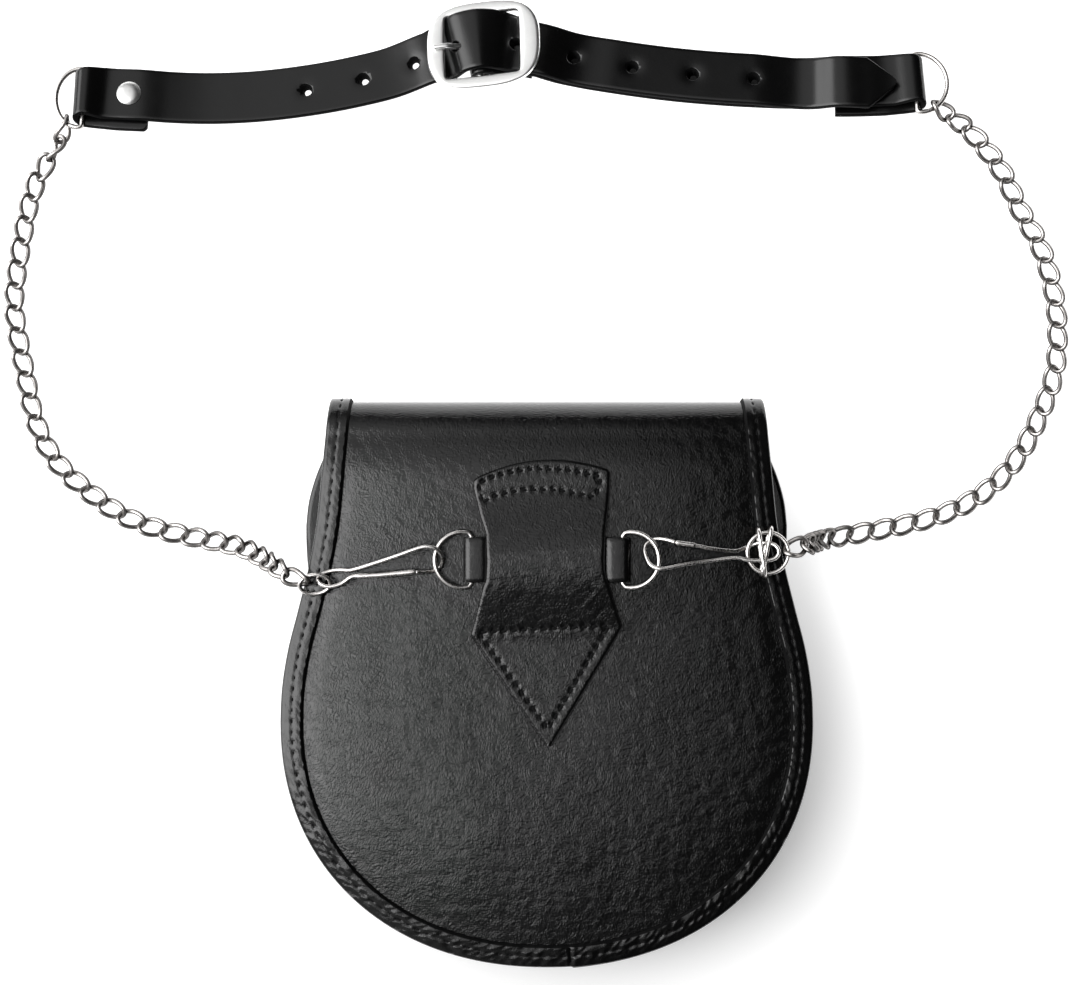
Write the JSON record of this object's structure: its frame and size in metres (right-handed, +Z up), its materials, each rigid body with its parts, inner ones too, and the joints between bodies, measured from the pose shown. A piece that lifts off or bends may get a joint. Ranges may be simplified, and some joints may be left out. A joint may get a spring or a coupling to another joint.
{
  "type": "sporran pouch with strap and chain belt",
  "caption": "Rounded leather sporran pouch lying on its flap, its bound back up, with a buckled strap belt clipped to rings by curb chains.",
  "frame": {"origin": "middle of the bounding box, on the surface that the part lies on", "axes": "+X across the pouch and along the belt, towards the right-hand chain; +Y from the pouch's rounded end towards its rolled top and the belt; +Z up, out of the pouch's back panel"},
  "size_m": [0.3712, 0.3322, 0.0412],
  "materials": {
    "leather": "black, fine creased grain, satin",
    "binding": "black, thin folded edge binding, satin",
    "strap": "black, smooth strap leather, satin",
    "nickel": "bright nickel-plated wire",
    "polished_nickel": "polished nickel plate"
  },
  "bodies": {
    "root": {"back_and_flap": "leather", "edge_binding": "binding", "gusset": "leather", "front_panel": "leather", "flap_snap": "nickel", "hanger_patch": "leather", "ring_strap": "strap", "pouch_ring_left": "nickel", "pouch_ring_right": "nickel", "clip_left": "nickel", "clip_right": "nickel", "jump_ring_left": "nickel", "jump_ring_right": "nickel", "oval_ring_near": "nickel", "oval_ring_far": "nickel", "chain_left": "nickel", "chain_right": "nickel", "belt_ring_left": "nickel", "belt_ring_right": "nickel", "billet_strap": "strap", "buckle_strap": "strap", "buckle_frame": "polished_nickel", "buckle_prong": "polished_nickel", "rivet_left": "polished_nickel", "rivet_right": "polished_nickel"}
  },
  "joints": []
}
